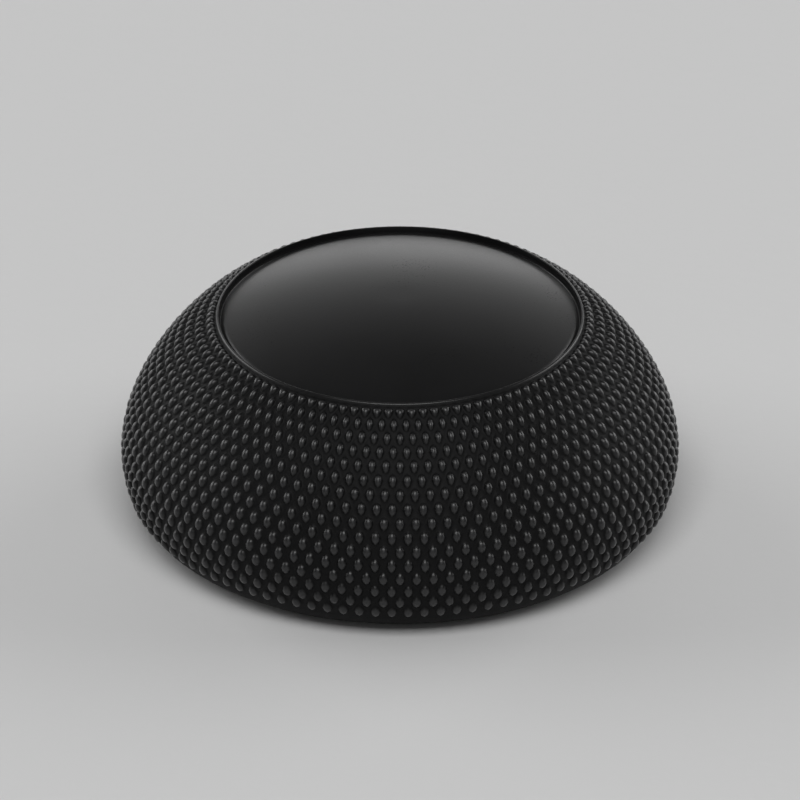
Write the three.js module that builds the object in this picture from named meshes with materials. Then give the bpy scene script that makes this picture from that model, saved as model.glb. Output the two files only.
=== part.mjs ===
// A slip-on thumb grip for a game controller: one moulded silicone cap that stretches over the
// head of a thumbstick. Its domed top is set down inside a crisp crown, its knurled side flares
// out to a rolled edge, and the lip of its socket closes in below the stick's head.
// Millimetres, +Z up. The cap's axis is Z, and it stands on its foot at Z = 0.

import * as THREE from "three";
import { toCreasedNormals } from "three/addons/utils/BufferGeometryUtils.js";

// Socket, as moulded: the stick's head stretches it a little
const socketRadius = 8.45;
const socketDepth = 5.0; // from the foot up to the seat, which rests on the rim of the stick
const seatRadius = 6.0; // outer edge of the seat
const seatWidth = 0.9;
const seatSlopeDegrees = 35; // of the wall where it leaves the seat
const seatFullness = 0.9; // how long the wall keeps to that slope
const socketFullness = 1.2; // how long the wall stays upright above its widest point
const padRise = 0.55; // the pad inside the seat fills the dished top of the stick

// Lip: it reaches in under the head, and its underside is the foot
const lipReach = 2.15;
const lipThickness = 0.85;
const lipRound = 0.3;
const mouthChamfer = 0.25;
const footWidth = 1.05;

// Walls
const skirtThickness = 0.95; // at the widest point
const topThickness = 2.36; // from the seat to the crown

// Side: out and down from the crown to the widest point, then rolled in to the foot
const crownRadius = 6.12;
const crownSlopeDegrees = 18.6; // how far the side already falls away where it leaves the crown
const crownFullness = 0.73; // how long the side keeps to that slope
const widestHeight = 2.2; // above the foot, of the socket too
const sideFullness = 2.6; // how long the side stays upright above its widest point

// Top: a shallow dome with a narrow groove round it, inside the crown
const crownLand = 0.04;
const grooveDepth = 0.3; // below the crown
const grooveDraft = 0.02; // how far each wall of the groove leans
const grooveWidth = 0.09; // at its bottom
const domeEdgeDrop = 0.17; // below the crown
const domeRise = 0.97;

// Knurl: staggered rows of small pyramids. Their tips lie in the side's outline.
const knurlColumns = 104;
const knurlPitch = 0.489; // from row to row, along the side
const knurlDepth = 0.13;
const crownBand = 0.17; // smooth side below the crown's edge
const knurlStart = 0.28; // from the crown's edge to the plain valley above the first row
const plainEdge = 1.2; // the least smooth side below the knurl

// How finely the smooth surfaces are faceted
const socketSegments = 52;
const creaseDegrees = 25; // sharper edges than this are shaded as edges

// Sizes that follow from those above
const widestRadius = socketRadius + skirtThickness;
const crownHeight = socketDepth + topThickness;
const grooveHeight = crownHeight - grooveDepth;
const domeEdgeHeight = crownHeight - domeEdgeDrop;
const domeRadius = crownRadius - crownLand - 2 * grooveDraft - grooveWidth;
const mouthRadius = socketRadius - lipReach;
const footInnerRadius = mouthRadius + mouthChamfer;
const footRadius = footInnerRadius + footWidth;
const padRadius = seatRadius - seatWidth;

// A point of an outline: its distance from the axis and its height above the foot.
const at = (radius, height) => new THREE.Vector2(radius, height);

// A wall from a slope that falls outwards at `top` to its upright widest point at `bottom`. Each
// fullness is the length over which the wall keeps the direction that it has at that end.
function bulgingWall(top, slopeDegrees, topFullness, bottom, bottomFullness) {
  const slope = THREE.MathUtils.degToRad(slopeDegrees);
  const afterTop = at(
    top.x + topFullness * Math.cos(slope),
    top.y - topFullness * Math.sin(slope),
  );
  const aboveBottom = at(bottom.x, bottom.y + bottomFullness);
  return new THREE.CubicBezierCurve(top, afterTop, aboveBottom, bottom);
}

// A quarter of an ellipse that turns an upright wall at `widest` in below itself.
function rolledEdge(widest, end) {
  const width = widest.x - end.x;
  const height = widest.y - end.y;
  return new THREE.EllipseCurve(end.x, widest.y, width, height, 0, -Math.PI / 2, true);
}

// Points of a spherical cap's outline from its centre to just inside its edge. The cap rises
// above the height of its edge, or hangs below it where the rise is negative.
function capOutline(edgeRadius, edgeHeight, rise, steps) {
  const sphereRadius = (edgeRadius ** 2 + rise ** 2) / (2 * Math.abs(rise));
  return Array.from({ length: steps }, (_, step) => {
    const radius = (edgeRadius * step) / steps;
    const drop = sphereRadius - Math.sqrt(sphereRadius ** 2 - radius ** 2);
    return at(radius, edgeHeight + rise - Math.sign(rise) * drop);
  });
}

// The whole side's outline, as a curve from the crown's edge to the foot's.
function sideOutline() {
  const crownEdge = at(crownRadius, crownHeight);
  const widest = at(widestRadius, widestHeight);
  const outline = new THREE.CurvePath();
  outline.add(
    bulgingWall(crownEdge, crownSlopeDegrees, crownFullness, widest, sideFullness),
  );
  outline.add(rolledEdge(widest, at(footRadius, 0)));
  return outline;
}

// A ring of points round the axis. `place` gives each point's place in the outline.
function ring(count, place) {
  return Array.from({ length: count }, (_, index) => {
    const { outlinePoint, isTip = false } = place(index);
    const angle = (2 * Math.PI * index) / count;
    const position = [
      outlinePoint.x * Math.cos(angle),
      outlinePoint.x * Math.sin(angle),
      outlinePoint.y,
    ];
    return { position, isTip };
  });
}

// A smooth ring, or a single point on the axis.
function plainRing(outlinePoint, segments) {
  const count = outlinePoint.x === 0 ? 1 : segments;
  return ring(count, () => ({ outlinePoint }));
}

// The point at a share of the side's length, sunk square below its outline by the knurl's depth.
function valleyAt(outline, share) {
  const above = outline.getPoint(share);
  const along = outline.getTangent(share);
  return at(above.x + knurlDepth * along.y, above.y - knurlDepth * along.x);
}

// One row of the knurl: tips on the side's outline and valleys sunk below it, turn and turn
// about, set half a column round from the row above.
function knurlRow(outline, share, row) {
  const tip = outline.getPoint(share);
  const valley = valleyAt(outline, share);
  return ring(2 * knurlColumns, (index) => {
    const isTip = (index + row) % 2 === 0;
    return { outlinePoint: isTip ? tip : valley, isTip };
  });
}

// The side from just below the crown's edge to the foot: the smooth band and the plain valley
// below it, the knurl, which ends one pitch above the next smooth ring, and the rolled edge.
function sideRings() {
  const edgeSteps = 4;
  const outline = sideOutline();
  const length = outline.getLength();
  const pitches = Math.floor((length - knurlStart - plainEdge) / knurlPitch);
  const shareAfter = (pitch) => (knurlStart + pitch * knurlPitch) / length;
  const smoothRing = (share) => plainRing(outline.getPoint(share), knurlColumns);
  const rings = [
    smoothRing(crownBand / length),
    plainRing(valleyAt(outline, shareAfter(0)), knurlColumns),
  ];
  for (let row = 1; row < pitches; row += 1)
    rings.push(knurlRow(outline, shareAfter(row), row));
  const edgeStart = shareAfter(pitches);
  for (let step = 0; step <= edgeSteps; step += 1)
    rings.push(smoothRing(edgeStart + ((1 - edgeStart) * step) / edgeSteps));
  return rings;
}

// The top from the dome's centre out to the crown's edge.
function topRings() {
  const domeSteps = 4;
  const outline = [
    ...capOutline(domeRadius, domeEdgeHeight, domeRise, domeSteps),
    at(domeRadius, domeEdgeHeight),
    at(domeRadius + grooveDraft, grooveHeight),
    at(domeRadius + grooveDraft + grooveWidth, grooveHeight),
    at(crownRadius - crownLand, crownHeight),
    at(crownRadius, crownHeight),
  ];
  return outline.map((point) => plainRing(point, knurlColumns));
}

// The socket from the foot's inner edge, up round the lip and the wall, to the pad's centre.
function socketRings() {
  const padSteps = 3;
  const wallSteps = 6;
  const rollSteps = 5;
  const lipSteps = 3;
  const seatEdge = at(seatRadius, socketDepth);
  const widest = at(socketRadius, widestHeight);
  const lipTop = at(mouthRadius + lipRound, lipThickness);
  const wall = bulgingWall(seatEdge, seatSlopeDegrees, seatFullness, widest, socketFullness);
  const lipCentre = at(lipTop.x, lipThickness - lipRound);
  const lipEdge = new THREE.EllipseCurve(
    lipCentre.x,
    lipCentre.y,
    lipRound,
    lipRound,
    Math.PI / 2,
    Math.PI,
  );
  const downwards = [
    ...capOutline(padRadius, socketDepth, -padRise, padSteps),
    at(padRadius, socketDepth),
    ...wall.getPoints(wallSteps),
    ...rolledEdge(widest, lipTop).getPoints(rollSteps).slice(1),
    ...lipEdge.getPoints(lipSteps).slice(1),
    at(mouthRadius, mouthChamfer),
    at(footInnerRadius, 0),
  ];
  return downwards.reverse().map((point) => plainRing(point, socketSegments));
}

// The triangles between two neighbouring rings, which may differ in count. They are zipped
// together in the order of their angles. A square between them is split along the diagonal that
// joins no tip, so that the valleys between the pyramids run straight.
function zipRings(upper, lower, upperStart, lowerStart) {
  const sameAngle = 1e-9;
  const triangles = [];
  const addTriangle = (...corners) => {
    if (new Set(corners).size === 3) triangles.push(...corners);
  };
  let u = 0;
  let l = 0;
  while (u < upper.length || l < lower.length) {
    const here = { upper: u % upper.length, lower: l % lower.length };
    const next = { upper: (u + 1) % upper.length, lower: (l + 1) % lower.length };
    const u0 = upperStart + here.upper;
    const l0 = lowerStart + here.lower;
    const u1 = upperStart + next.upper;
    const l1 = lowerStart + next.lower;
    const lead = (u + 1) / upper.length - (l + 1) / lower.length;
    if (lead > sameAngle) {
      addTriangle(u0, l0, l1);
      l += 1;
    } else if (lead < -sameAngle) {
      addTriangle(u0, l0, u1);
      u += 1;
    } else {
      const tipOnDiagonal = upper[here.upper].isTip || lower[next.lower].isTip;
      if (tipOnDiagonal) {
        addTriangle(u0, l0, u1);
        addTriangle(u1, l0, l1);
      } else {
        addTriangle(u0, l0, l1);
        addTriangle(u0, l1, u1);
      }
      u += 1;
      l += 1;
    }
  }
  return triangles;
}

// One closed surface over a stack of rings that begins and ends in a point on the axis.
function closedSurface(rings) {
  const positions = [];
  const triangles = [];
  let start = 0;
  rings.forEach((points, index) => {
    for (const { position } of points) positions.push(...position);
    const next = rings[index + 1];
    const nextStart = start + points.length;
    if (next) triangles.push(...zipRings(points, next, start, nextStart));
    start = nextStart;
  });
  const geometry = new THREE.BufferGeometry();
  geometry.setAttribute("position", new THREE.Float32BufferAttribute(positions, 3));
  geometry.setIndex(triangles);
  return toCreasedNormals(geometry, THREE.MathUtils.degToRad(creaseDegrees));
}

const blackSilicone = new THREE.MeshStandardMaterial({
  color: 0x161617,
  roughness: 0.55,
  metalness: 0,
});
const thumbGrip = new THREE.Mesh(
  closedSurface([...topRings(), ...sideRings(), ...socketRings()]),
  blackSilicone,
);
thumbGrip.name = "thumb_grip";

const part = new THREE.Group();
part.add(thumbGrip);

export default part;
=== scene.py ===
# The look of a slip-on silicone thumb grip: one moulded cap with a satin dome, a knurled side and
# an open socket below, on a pale floor in soft studio light.
# Metres, in the same frame as the solid model. The cap's own sizes below are in millimetres.

import math

import bmesh
import bpy
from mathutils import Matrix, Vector
from mathutils.geometry import interpolate_bezier


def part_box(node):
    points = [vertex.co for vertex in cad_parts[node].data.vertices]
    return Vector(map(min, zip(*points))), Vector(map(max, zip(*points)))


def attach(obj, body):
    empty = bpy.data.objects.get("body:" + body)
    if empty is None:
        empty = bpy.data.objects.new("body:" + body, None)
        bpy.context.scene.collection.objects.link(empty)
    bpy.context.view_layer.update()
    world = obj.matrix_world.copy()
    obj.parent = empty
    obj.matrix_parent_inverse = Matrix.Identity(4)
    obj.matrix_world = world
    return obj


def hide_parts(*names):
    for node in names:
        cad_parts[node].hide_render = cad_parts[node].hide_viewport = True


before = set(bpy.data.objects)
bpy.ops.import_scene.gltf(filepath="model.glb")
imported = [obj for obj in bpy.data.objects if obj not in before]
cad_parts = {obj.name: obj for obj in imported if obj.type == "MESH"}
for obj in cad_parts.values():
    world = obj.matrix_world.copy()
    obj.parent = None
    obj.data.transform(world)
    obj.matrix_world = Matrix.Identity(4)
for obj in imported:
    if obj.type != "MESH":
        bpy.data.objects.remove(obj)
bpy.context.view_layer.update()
cap_low, cap_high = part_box("thumb_grip")

MM = 0.001

# Top: the dome's edge lies a little below the crown, past a narrow groove
CROWN_RADIUS = 6.12
CROWN_LAND = 0.04  # inside the crown's edge, still rising at the slope of the side
GROOVE_DEPTH = 0.3  # below the crown's edge
GROOVE_DRAFT = 0.02  # how far each wall of the groove leans
GROOVE_WIDTH = 0.09  # at its bottom
DOME_EDGE_DROP = 0.17  # below the crown's edge
DOME_RISE = 0.97

# Side: out and down from the crown to the widest point, then rolled in to the foot
CROWN_SLOPE = math.radians(18.6)  # how far the side already falls away where it leaves the crown
CROWN_FULLNESS = 0.73  # how long the side keeps to that slope
WIDEST_HEIGHT = 2.2  # above the foot, of the socket too
SIDE_FULLNESS = 2.6  # how long the side stays upright above its widest point
FOOT_RADIUS = 7.6
ROUND_HANDLE = 0.5523  # handle length that makes a Bezier curve a quarter of an ellipse

# Knurl: staggered rows of small round studs on a floor that lies below the side's outline
KNURL_COLUMNS = 104
KNURL_ROWS = 15  # below the row next to the crown, and odd
KNURL_PITCH = 0.489  # from row to row, along the side
KNURL_DEPTH = 0.13  # from the side's outline to the floor
KNURL_START = 0.28  # from the crown's edge to the row next to it
CROWN_BAND = 0.05  # smooth side below the crown's edge
CROWN_STEP = 0.12  # from the crown's edge to the foot of the step down to the knurl's floor
STUD_GAP = 0.02  # from a stud's foot to the edge of its diamond
STUD_REACH = 0.35  # from a stud's middle to its foot, up and down the side
STUD_SHOULDER = 0.055  # how far a stud's side leans in
STUD_HEIGHT = 0.15  # before it is rounded
BESIDE_ROW = 0.1  # of the pitch: far enough from a row to tell what lies on each side of it

# Socket and lip
MOUTH_RADIUS = 6.3
MOUTH_CHAMFER = 0.25
LIP_THICKNESS = 0.85
LIP_ROUND = 0.3
SOCKET_RADIUS = 8.45
SOCKET_DEPTH = 5.0  # from the foot up to the seat
SOCKET_FULLNESS = 1.2  # how long the wall stays upright above its widest point
SEAT_RADIUS = 6.0
SEAT_SLOPE = math.radians(35)  # of the wall where it leaves the seat
SEAT_FULLNESS = 0.9  # how long the wall keeps to that slope
PAD_RADIUS = 5.1
PAD_RISE = 0.55  # how far the pad hangs below the seat

# How many rings of edges the smooth surfaces have
DOME_RINGS = 9
EDGE_RINGS = 5
LIP_RINGS = 4
ROLL_RINGS = 7
WALL_RINGS = 9
PAD_RINGS = 5

# How finely the side's outline is stepped, to measure along it
SIDE_STEPS = 200
EDGE_STEPS = 100

# Rings that keep an edge crisp when the skin is rounded
EDGE_SUPPORT = 0.1  # from an edge of the foot or the seat
CROWN_SUPPORT = 0.02  # from the crown's land, down the groove's wall
DOME_SUPPORT = 0.05  # from the dome's edge

# Marks on the skin, which the material reads for its gloss and its colour: painted shade between the
# studs and a painted highlight on their tops. The skin elsewhere is at 0.
WEAR_AND_PAINTED_LIGHT = "wear_and_painted_light"
FLOOR_MARK = -1.0  # between the studs: matte, and a little darker as painted shade
STUD_MARK = 1.0  # on top of the studs, where the skin gets worn, and lighter, partly as a painted highlight

# The sky's level by the angle in degrees from its brightest direction, which is low behind the cap
SKY = [(165, 0.4), (140, 0.08), (95, 0.03), (72, 0.09), (49, 0.36), (20, 0.65)]
SKY_BEHIND = math.radians(-20)  # elevation of that direction

# Camera and floor, in metres
VIEW_ELEVATION = math.radians(29.2)
VIEW_DISTANCE = 0.85
VIEW_END = 20
FRAME_WIDTH = 0.0268  # at the cap
SENSOR_WIDTH = 36  # in millimetres, as the lens is
FLOOR_SIZE = 4

widest_radius = cap_high[0] / MM
dome_edge_height = cap_high[2] / MM - DOME_RISE
crown_height = dome_edge_height + DOME_EDGE_DROP
groove_height = crown_height - GROOVE_DEPTH
dome_radius = CROWN_RADIUS - CROWN_LAND - 2 * GROOVE_DRAFT - GROOVE_WIDTH


# Outlines, as points of radius and height in millimetres

def at(radius, height):
    return Vector((radius, height))


def bezier(start, start_handle, end_handle, end, steps):
    """Points of a Bezier curve, both ends included."""
    return interpolate_bezier(start, start_handle, end_handle, end, steps + 1)


def bulging_wall(top, slope, top_fullness, bottom, bottom_fullness, steps):
    """A wall that falls outwards at its top and stands upright at its wider bottom."""
    after_top = top + top_fullness * Vector((math.cos(slope), -math.sin(slope)))
    above_bottom = bottom + at(0, bottom_fullness)
    return bezier(top, after_top, above_bottom, bottom, steps)


def rolled_edge(widest, end, steps):
    """A quarter of an ellipse that turns an upright wall in below itself."""
    below_widest = at(widest.x, widest.y + ROUND_HANDLE * (end.y - widest.y))
    beside_end = at(end.x + ROUND_HANDLE * (widest.x - end.x), end.y)
    return bezier(widest, below_widest, beside_end, end, steps)


def cap_height(edge_radius, rise, radius):
    """How high a spherical cap lies above its edge at a distance from the axis."""
    sphere = (edge_radius ** 2 + rise ** 2) / (2 * rise)
    return math.sqrt(sphere ** 2 - radius ** 2) - (sphere - rise)


def side_outline():
    """The whole side, from the crown's edge to the foot, in fine steps."""
    crown_edge = at(CROWN_RADIUS, crown_height)
    widest = at(widest_radius, WIDEST_HEIGHT)
    wall = bulging_wall(crown_edge, CROWN_SLOPE, CROWN_FULLNESS, widest, SIDE_FULLNESS, SIDE_STEPS)
    return wall + rolled_edge(widest, at(FOOT_RADIUS, 0), EDGE_STEPS)[1:]


def walk(outline, distance, sink=0.0):
    """The point at a distance along an outline, sunk below it by `sink`."""
    left = distance
    for start, end in zip(outline, outline[1:]):
        step = end - start
        if left <= step.length:
            break
        left -= step.length
    inwards = Vector((step.y, -step.x)).normalized()
    return start + step * min(left / step.length, 1.0) + inwards * sink


def outline_length(outline):
    return sum((end - start).length for start, end in zip(outline, outline[1:]))


def knurl_ring(outline, row):
    """Where a row of the knurl lies: sunk below the outline, but for the last, which ends on it."""
    sink = KNURL_DEPTH if row <= KNURL_ROWS else 0
    return walk(outline, KNURL_START + row * KNURL_PITCH, sink)


def knurl_rings(outline):
    """From the crown's edge down a small step to the knurl's floor, and then every other row."""
    band = [walk(outline, 0), walk(outline, CROWN_BAND), walk(outline, CROWN_STEP, KNURL_DEPTH)]
    return band + [knurl_ring(outline, row) for row in range(0, KNURL_ROWS + 2, 2)]


def below_knurl(outline):
    """The outline from the knurl's lower border down round the rolled edge to the foot."""
    start = KNURL_START + (KNURL_ROWS + 1) * KNURL_PITCH
    left = outline_length(outline) - start
    return [walk(outline, start + left * step / EDGE_RINGS) for step in range(EDGE_RINGS + 1)]


def socket_outline():
    """From the foot's outer edge, in round the lip, and up the socket's wall to the pad."""
    seat_edge = at(SEAT_RADIUS, SOCKET_DEPTH)
    widest = at(SOCKET_RADIUS, WIDEST_HEIGHT)
    lip_top = at(MOUTH_RADIUS + LIP_ROUND, LIP_THICKNESS)
    lip_side = at(MOUTH_RADIUS, LIP_THICKNESS - LIP_ROUND)
    lip_handle = LIP_ROUND * (1 - ROUND_HANDLE)
    lip = bezier(
        lip_side,
        at(lip_side.x, lip_top.y - lip_handle),
        at(lip_side.x + lip_handle, lip_top.y),
        lip_top,
        LIP_RINGS,
    )
    roll = rolled_edge(widest, lip_top, ROLL_RINGS)
    wall = bulging_wall(
        seat_edge, SEAT_SLOPE, SEAT_FULLNESS, widest, SOCKET_FULLNESS, WALL_RINGS,
    )
    foot_inner = MOUTH_RADIUS + MOUTH_CHAMFER
    foot = [
        at(FOOT_RADIUS, 0),
        at(FOOT_RADIUS - EDGE_SUPPORT, 0),
        at(foot_inner + EDGE_SUPPORT, 0),
        at(foot_inner, 0),
        at(MOUTH_RADIUS, MOUTH_CHAMFER),
    ]
    seat = [
        at(SEAT_RADIUS - EDGE_SUPPORT, SOCKET_DEPTH),
        at(PAD_RADIUS + EDGE_SUPPORT, SOCKET_DEPTH),
    ]
    pad = [
        at(radius, SOCKET_DEPTH - cap_height(PAD_RADIUS, PAD_RISE, radius))
        for radius in (PAD_RADIUS * (1 - step / PAD_RINGS) for step in range(PAD_RINGS))
    ]
    return foot + lip + roll[::-1][1:] + wall[::-1][1:] + seat + pad


def dome_surface(radius):
    return dome_edge_height + cap_height(dome_radius, DOME_RISE, radius)


def top_outline():
    """From the crown's edge in over its land and the groove, to the dome's last ring."""
    land_inner = CROWN_RADIUS - CROWN_LAND
    land_height = crown_height + CROWN_LAND * math.tan(CROWN_SLOPE)
    wall_lean = GROOVE_DRAFT / (land_height - groove_height)
    groove_outer = land_inner - GROOVE_DRAFT
    groove_inner = groove_outer - GROOVE_WIDTH
    rim = [
        at(CROWN_RADIUS, crown_height),
        at(land_inner, land_height),
        at(land_inner - CROWN_SUPPORT * wall_lean, land_height - CROWN_SUPPORT),
        at(groove_outer, groove_height),
        at(groove_inner, groove_height),
        at(dome_radius, dome_edge_height),
        at(dome_radius - DOME_SUPPORT, dome_surface(dome_radius - DOME_SUPPORT)),
    ]
    dome = [
        at(radius, dome_surface(radius))
        for radius in (dome_radius * (1 - step / DOME_RINGS) for step in range(1, DOME_RINGS))
    ]
    return rim + dome


# Modelling with rings of edges

def edit_only(obj):
    """Leaves nothing but this object selected, and opens it for editing."""
    bpy.ops.object.select_all(action="DESELECT")
    obj.select_set(True)
    bpy.context.view_layer.objects.active = obj
    bpy.ops.object.mode_set(mode="EDIT")


def select_where(obj, kind, test):
    """Selects just those vertices, edges or faces that pass the test."""
    bpy.ops.mesh.select_all(action="DESELECT")
    bpy.ops.mesh.select_mode(type={"verts": "VERT", "edges": "EDGE", "faces": "FACE"}[kind])
    mesh = bmesh.from_edit_mesh(obj.data)
    for item in getattr(mesh, kind):
        item.select_set(test(item))
    mesh.select_flush_mode()
    bmesh.update_edit_mesh(obj.data)


def next_ring(old, new):
    """Extrudes the selected ring of edges from one point of an outline to the next."""
    bpy.ops.mesh.extrude_edges_move()
    ratio = new.x / old.x
    bpy.ops.transform.resize(value=(ratio, ratio, 1), center_override=(0, 0, 0))
    bpy.ops.transform.translate(value=(0, 0, (new.y - old.y) * MM))


def extrude_along(points):
    """Extrudes the selected ring, which lies at the first point, to each of the others."""
    for old, new in zip(points, points[1:]):
        next_ring(old, new)


def close_at_centre(height_change):
    """Draws the selected ring together on the axis."""
    bpy.ops.mesh.extrude_edges_move()
    bpy.ops.mesh.merge(type="CENTER")
    bpy.ops.transform.translate(value=(0, 0, height_change * MM))


def turn_outwards():
    """Turns all the faces so that their normals point out of the cap."""
    bpy.ops.mesh.select_all(action="SELECT")
    bpy.ops.mesh.normals_make_consistent(inside=False)


def edge_height(edge):
    return (edge.verts[0].co.z + edge.verts[1].co.z) / 2 / MM


def face_height(face):
    return face.calc_center_median().z / MM


def on_column(vertex):
    """Whether a vertex stands on one of the columns that the rings' own vertices stand on."""
    half_columns = math.atan2(vertex.co.y, vertex.co.x) * KNURL_COLUMNS / math.pi
    return round(half_columns) % 2 == 1


def joins_columns(edge):
    return all(on_column(vertex) for vertex in edge.verts)


# The cap

def start_cap():
    """The ring of the crown's edge, turned half a column round and opened for editing."""
    bpy.ops.object.select_all(action="DESELECT")
    bpy.ops.mesh.primitive_circle_add(vertices=KNURL_COLUMNS, radius=CROWN_RADIUS * MM)
    cap = bpy.context.object
    cap.name = "silicone_cap"
    # A mark on each vertex for wear, painted shade and a painted highlight, which the material reads
    cap.data.attributes.new(WEAR_AND_PAINTED_LIGHT, "FLOAT", "POINT")
    edit_only(cap)
    bpy.ops.mesh.select_all(action="SELECT")
    bpy.ops.transform.rotate(
        value=math.pi / KNURL_COLUMNS,
        orient_axis="Z",
        center_override=(0, 0, 0),
    )
    bpy.ops.transform.translate(value=(0, 0, crown_height * MM))
    return cap


def mark_wear_and_painted_light(cap, mark):
    """Puts a mark on the selected vertices."""
    mesh = bmesh.from_edit_mesh(cap.data)
    wear_and_painted_light = mesh.verts.layers.float[WEAR_AND_PAINTED_LIGHT]
    for vertex in mesh.verts:
        if vertex.select:
            vertex[wear_and_painted_light] = mark
    bmesh.update_edit_mesh(cap.data)


def draw_in_corners(cap, reach):
    """Draws the corners of each selected face in to at most `reach` from its middle."""
    mesh = bmesh.from_edit_mesh(cap.data)
    for face in mesh.faces:
        if face.select:
            middle = face.calc_center_median()
            for vertex in face.verts:
                offset = vertex.co - middle
                vertex.co = middle + offset * min(1.0, reach / offset.length)
    bmesh.update_edit_mesh(cap.data)


def raise_knurl(cap, outline):
    """Turns the squares of the side into staggered diamonds and raises a round stud in each."""
    above_rows = knurl_ring(outline, -BESIDE_ROW).y
    below_top_row = knurl_ring(outline, BESIDE_ROW).y
    below_rows = knurl_ring(outline, KNURL_ROWS + 0.5).y
    select_where(cap, "faces", lambda face: face_height(face) < below_top_row)
    bpy.ops.mesh.poke()
    select_where(
        cap, "edges",
        lambda edge: below_rows < edge_height(edge) < above_rows and joins_columns(edge),
    )
    bpy.ops.mesh.dissolve_edges(use_verts=False)
    select_where(cap, "faces", lambda face: below_rows < face_height(face) < above_rows)
    # The knurl's floor gets the mark that the material darkens as painted shade
    mark_wear_and_painted_light(cap, FLOOR_MARK)
    bpy.ops.mesh.inset(thickness=STUD_GAP * MM, depth=0, use_individual=True)
    draw_in_corners(cap, STUD_REACH * MM)
    mark_wear_and_painted_light(cap, FLOOR_MARK)
    bpy.ops.mesh.inset(thickness=STUD_SHOULDER * MM, depth=STUD_HEIGHT * MM, use_individual=True)
    # The studs' tops get the mark that the material lightens, partly as wear and partly as a painted
    # highlight
    mark_wear_and_painted_light(cap, STUD_MARK)


def round_off(cap):
    """Rounds the whole skin by one step of subdivision."""
    rounding = cap.modifiers.new("rounding", "SUBSURF")
    rounding.levels = 1
    rounding.render_levels = 1
    bpy.ops.object.modifier_apply(modifier=rounding.name)
    bpy.ops.object.shade_smooth()


def model_cap():
    """One closed skin, begun at the crown's edge and worked down the side and up the socket."""
    outline = side_outline()
    cap = start_cap()
    extrude_along(knurl_rings(outline))
    turn_outwards()
    raise_knurl(cap, outline)

    select_where(cap, "edges", lambda edge: edge.is_boundary and edge_height(edge) < WIDEST_HEIGHT)
    extrude_along(below_knurl(outline))
    inside = socket_outline()
    extrude_along(inside)
    close_at_centre(SOCKET_DEPTH - PAD_RISE - inside[-1].y)

    select_where(cap, "edges", lambda edge: edge.is_boundary)
    top = top_outline()
    extrude_along(top)
    close_at_centre(dome_surface(0) - top[-1].y)
    turn_outwards()
    bpy.ops.object.mode_set(mode="OBJECT")
    round_off(cap)
    return cap


# Materials

def grey(level):
    return (level, level, level, 1)


def add_ramp(nodes, stops):
    """A colour ramp through a colour at each position, in rising order."""
    ramp = nodes.new("ShaderNodeValToRGB")
    elements = ramp.color_ramp.elements
    while len(elements) < len(stops):
        elements.new(1.0)
    for element, (position, colour) in zip(elements, stops):
        element.position = position
        element.color = colour
    return ramp


def add_socket(group, name, in_out, kind, default=None):
    socket = group.interface.new_socket(name=name, in_out=in_out, socket_type=kind)
    if default is not None:
        socket.default_value = default


def add_noise(tree, given, scale, detail, roughness):
    """A noise at the group's position, with the scale that the group is given under that name."""
    noise = tree.nodes.new("ShaderNodeTexNoise")
    noise.inputs["Detail"].default_value = detail
    noise.inputs["Roughness"].default_value = roughness
    tree.links.new(given.outputs["Position"], noise.inputs["Vector"])
    tree.links.new(given.outputs[scale], noise.inputs["Scale"])
    return noise


def fine_grain_group():
    """Fine grain on a surface: a slow unevenness of its gloss, and small bumps that also scatter."""
    group = bpy.data.node_groups.new("fine_grain", "ShaderNodeTree")
    add_socket(group, "Position", "INPUT", "NodeSocketVector")
    add_socket(group, "Grains per metre", "INPUT", "NodeSocketFloat", 10000.0)
    add_socket(group, "Patches per metre", "INPUT", "NodeSocketFloat", 300.0)
    add_socket(group, "Smoothest", "INPUT", "NodeSocketFloat", 0.4)
    add_socket(group, "Roughest", "INPUT", "NodeSocketFloat", 0.6)
    add_socket(group, "Roughness", "OUTPUT", "NodeSocketFloat")
    add_socket(group, "Patches", "OUTPUT", "NodeSocketFloat")
    add_socket(group, "Grain", "OUTPUT", "NodeSocketFloat")
    nodes = group.nodes
    links = group.links
    given = nodes.new("NodeGroupInput")
    result = nodes.new("NodeGroupOutput")

    grain = add_noise(group, given, "Grains per metre", detail=3.0, roughness=0.6)
    patches = add_noise(group, given, "Patches per metre", detail=4.0, roughness=0.55)
    both = nodes.new("ShaderNodeMath")
    both.operation = "ADD"
    links.new(grain.outputs["Fac"], both.inputs[0])
    links.new(patches.outputs["Fac"], both.inputs[1])
    roughness = nodes.new("ShaderNodeMapRange")
    roughness.inputs["From Min"].default_value = 0.7
    roughness.inputs["From Max"].default_value = 1.3
    links.new(both.outputs["Value"], roughness.inputs["Value"])
    links.new(given.outputs["Smoothest"], roughness.inputs["To Min"])
    links.new(given.outputs["Roughest"], roughness.inputs["To Max"])

    links.new(roughness.outputs["Result"], result.inputs["Roughness"])
    links.new(patches.outputs["Fac"], result.inputs["Patches"])
    links.new(grain.outputs["Fac"], result.inputs["Grain"])
    return group


def grained_material(name, group, grains, patches, smoothest, roughest, grain_height):
    """A material whose gloss and small bumps come from the shared grain."""
    material = bpy.data.materials.new(name)
    material.use_nodes = True
    nodes = material.node_tree.nodes
    links = material.node_tree.links
    shader = nodes["Principled BSDF"]
    place = nodes.new("ShaderNodeTexCoord")
    grain = nodes.new("ShaderNodeGroup")
    grain.name = "grain"
    grain.node_tree = group
    grain.inputs["Grains per metre"].default_value = grains
    grain.inputs["Patches per metre"].default_value = patches
    grain.inputs["Smoothest"].default_value = smoothest
    grain.inputs["Roughest"].default_value = roughest
    bump = nodes.new("ShaderNodeBump")
    bump.inputs["Strength"].default_value = 1.0
    bump.inputs["Distance"].default_value = grain_height
    links.new(place.outputs["Object"], grain.inputs["Position"])
    links.new(grain.outputs["Grain"], bump.inputs["Height"])
    links.new(bump.outputs["Normal"], shader.inputs["Normal"])
    links.new(grain.outputs["Roughness"], shader.inputs["Roughness"])
    return material, shader, grain


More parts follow.
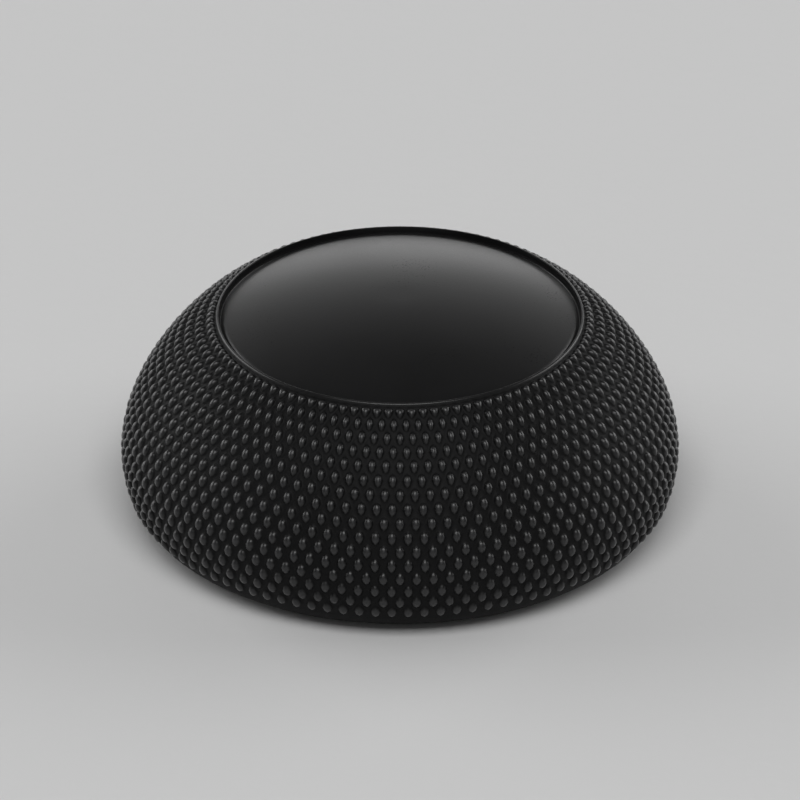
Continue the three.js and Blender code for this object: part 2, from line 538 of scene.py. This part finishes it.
def read_marks(tree):
    """The marks on the skin, as a share from 0 on the knurl's floor to 1 on top of the studs."""
    wear_and_painted_light = tree.nodes.new("ShaderNodeAttribute")
    wear_and_painted_light.attribute_type = "GEOMETRY"
    wear_and_painted_light.attribute_name = WEAR_AND_PAINTED_LIGHT
    wear_and_painted_light_share = tree.nodes.new("ShaderNodeMapRange")
    wear_and_painted_light_share.inputs["From Min"].default_value = FLOOR_MARK
    wear_and_painted_light_share.inputs["From Max"].default_value = STUD_MARK
    tree.links.new(wear_and_painted_light.outputs["Fac"], wear_and_painted_light_share.inputs["Value"])
    return wear_and_painted_light_share


def level_by_wear_and_painted_light(tree, wear_and_painted_light_share, floor, skin, studs):
    """A level for the knurl's floor, one for the smooth skin and one for the studs' tops."""
    ramp = add_ramp(tree.nodes, [(0, grey(floor)), (0.5, grey(skin)), (1, grey(studs))])
    tree.links.new(wear_and_painted_light_share.outputs["Result"], ramp.inputs["Fac"])
    return ramp


def silicone(group):
    """Black silicone as it leaves a satin mould, matte between the studs and worn on their tips. Its
    colour is a little darker between the studs as painted shade and about three times lighter on the
    tips, partly as wear and partly as a painted highlight.
    """
    material, shader, grain = grained_material(
        "black_silicone", group,
        grains=16000.0, patches=260.0, smoothest=0.26, roughest=0.38, grain_height=0.003 * MM,
    )
    tree = material.node_tree
    shader.inputs["IOR"].default_value = 1.42
    shader.inputs["Specular IOR Level"].default_value = 0.2
    shader.inputs["Coat IOR"].default_value = 1.42
    shader.inputs["Coat Roughness"].default_value = 0.32

    wear_and_painted_light_share = read_marks(tree)
    # The colour's level: the knurl's floor darkened as painted shade, the studs' tops lightened partly
    # as wear and partly as a painted highlight
    depth = level_by_wear_and_painted_light(tree, wear_and_painted_light_share, floor=0.3, skin=0.32, studs=1)
    gloss = level_by_wear_and_painted_light(tree, wear_and_painted_light_share, floor=0, skin=0.7, studs=0.85)
    matte = level_by_wear_and_painted_light(tree, wear_and_painted_light_share, floor=0.3, skin=0, studs=0.1)
    tint = add_ramp(tree.nodes, [
        (0.35, (0.0104, 0.0104, 0.0109, 1)),
        (0.65, (0.0154, 0.0154, 0.0162, 1)),
    ])

    # A mix node has sockets for several types under the same names, so these go by number
    colour = tree.nodes.new("ShaderNodeMix")
    colour.data_type = "RGBA"
    colour.blend_type = "MULTIPLY"
    mix_share, mix_a, mix_b = colour.inputs[0], colour.inputs[6], colour.inputs[7]
    mix_result = colour.outputs[2]
    mix_share.default_value = 1.0
    tree.links.new(grain.outputs["Patches"], tint.inputs["Fac"])
    tree.links.new(tint.outputs["Color"], mix_a)
    tree.links.new(depth.outputs["Color"], mix_b)
    tree.links.new(mix_result, shader.inputs["Base Color"])

    roughness = tree.nodes.new("ShaderNodeMath")
    roughness.operation = "ADD"
    tree.links.new(grain.outputs["Roughness"], roughness.inputs[0])
    tree.links.new(matte.outputs["Color"], roughness.inputs[1])
    tree.links.new(roughness.outputs["Value"], shader.inputs["Roughness"])
    tree.links.new(gloss.outputs["Color"], shader.inputs["Coat Weight"])
    return material


def floor_material(group):
    """Pale matte paper under the cap."""
    material, shader, _ = grained_material(
        "pale_floor", group,
        grains=1500.0, patches=20.0, smoothest=0.6, roughest=0.75, grain_height=0.01 * MM,
    )
    shader.inputs["Base Color"].default_value = grey(0.62)
    return material


# Light and camera

def light_sky():
    """A grey sky that is brightest low behind the cap and darkest overhead."""
    world = bpy.data.worlds.new("studio")
    bpy.context.scene.world = world
    world.use_nodes = True
    nodes = world.node_tree.nodes
    links = world.node_tree.links
    direction = nodes.new("ShaderNodeTexCoord")
    towards_back = nodes.new("ShaderNodeVectorMath")
    towards_back.operation = "DOT_PRODUCT"
    towards_back.inputs[1].default_value = (0, math.cos(SKY_BEHIND), math.sin(SKY_BEHIND))
    share = nodes.new("ShaderNodeMath")
    share.operation = "MULTIPLY_ADD"
    share.inputs[1].default_value = 0.5
    share.inputs[2].default_value = 0.5
    stops = [((1 + math.cos(math.radians(angle))) / 2, grey(level)) for angle, level in SKY]
    levels = add_ramp(nodes, stops)
    links.new(direction.outputs["Generated"], towards_back.inputs[0])
    links.new(towards_back.outputs["Value"], share.inputs[0])
    links.new(share.outputs["Value"], levels.inputs["Fac"])
    links.new(levels.outputs["Color"], nodes["Background"].inputs["Color"])


def softbox(name, azimuth, elevation, distance, width, height, radiance):
    """A soft panel that faces the cap. Azimuth 0 is straight behind it, seen from the front."""
    azimuth = math.radians(azimuth)
    elevation = math.radians(elevation)
    towards = Vector((
        math.sin(azimuth) * math.cos(elevation),
        math.cos(azimuth) * math.cos(elevation),
        math.sin(elevation),
    ))
    bpy.ops.object.light_add(type="AREA", location=towards * distance)
    lamp = bpy.context.object
    lamp.name = name
    lamp.rotation_euler = (-towards).to_track_quat("-Z", "Y").to_euler()
    lamp.data.shape = "RECTANGLE"
    lamp.data.size = width
    lamp.data.size_y = height
    lamp.data.energy = radiance * math.pi * width * height
    lamp.visible_camera = False


def place_camera():
    """A long lens in front of the cap, looking down at it."""
    camera_data = bpy.data.cameras.new("camera")
    camera = bpy.data.objects.new("camera", camera_data)
    bpy.context.collection.objects.link(camera)
    aim = Vector((0, 0, (cap_low[2] + cap_high[2]) / 2))
    direction = Vector((0, -math.cos(VIEW_ELEVATION), math.sin(VIEW_ELEVATION)))
    camera.location = aim + direction * VIEW_DISTANCE
    camera.rotation_euler = (-direction).to_track_quat("-Z", "Y").to_euler()
    camera_data.sensor_width = SENSOR_WIDTH
    camera_data.lens = SENSOR_WIDTH * VIEW_DISTANCE / FRAME_WIDTH
    camera_data.clip_end = VIEW_END
    bpy.context.scene.camera = camera


# Build

cap = model_cap()
grain = fine_grain_group()
cap.data.materials.clear()
cap.data.materials.append(silicone(grain))
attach(cap, "root")
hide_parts("thumb_grip")

bpy.ops.object.select_all(action="DESELECT")
bpy.ops.mesh.primitive_plane_add(size=FLOOR_SIZE)
floor = bpy.context.object
floor.name = "floor"
floor.data.materials.append(floor_material(grain))

light_sky()
for name, azimuth in (("left_softbox", -65), ("right_softbox", 65)):
    softbox(name, azimuth, elevation=22, distance=0.7, width=0.7, height=0.4, radiance=2.8)
softbox("back_softbox", azimuth=0, elevation=7, distance=0.9, width=0.6, height=0.12, radiance=1.0)
softbox("top_softbox", azimuth=180, elevation=62, distance=0.8, width=0.6, height=0.4, radiance=5.0)
place_camera()
bpy.context.scene.view_settings.view_transform = "Standard"
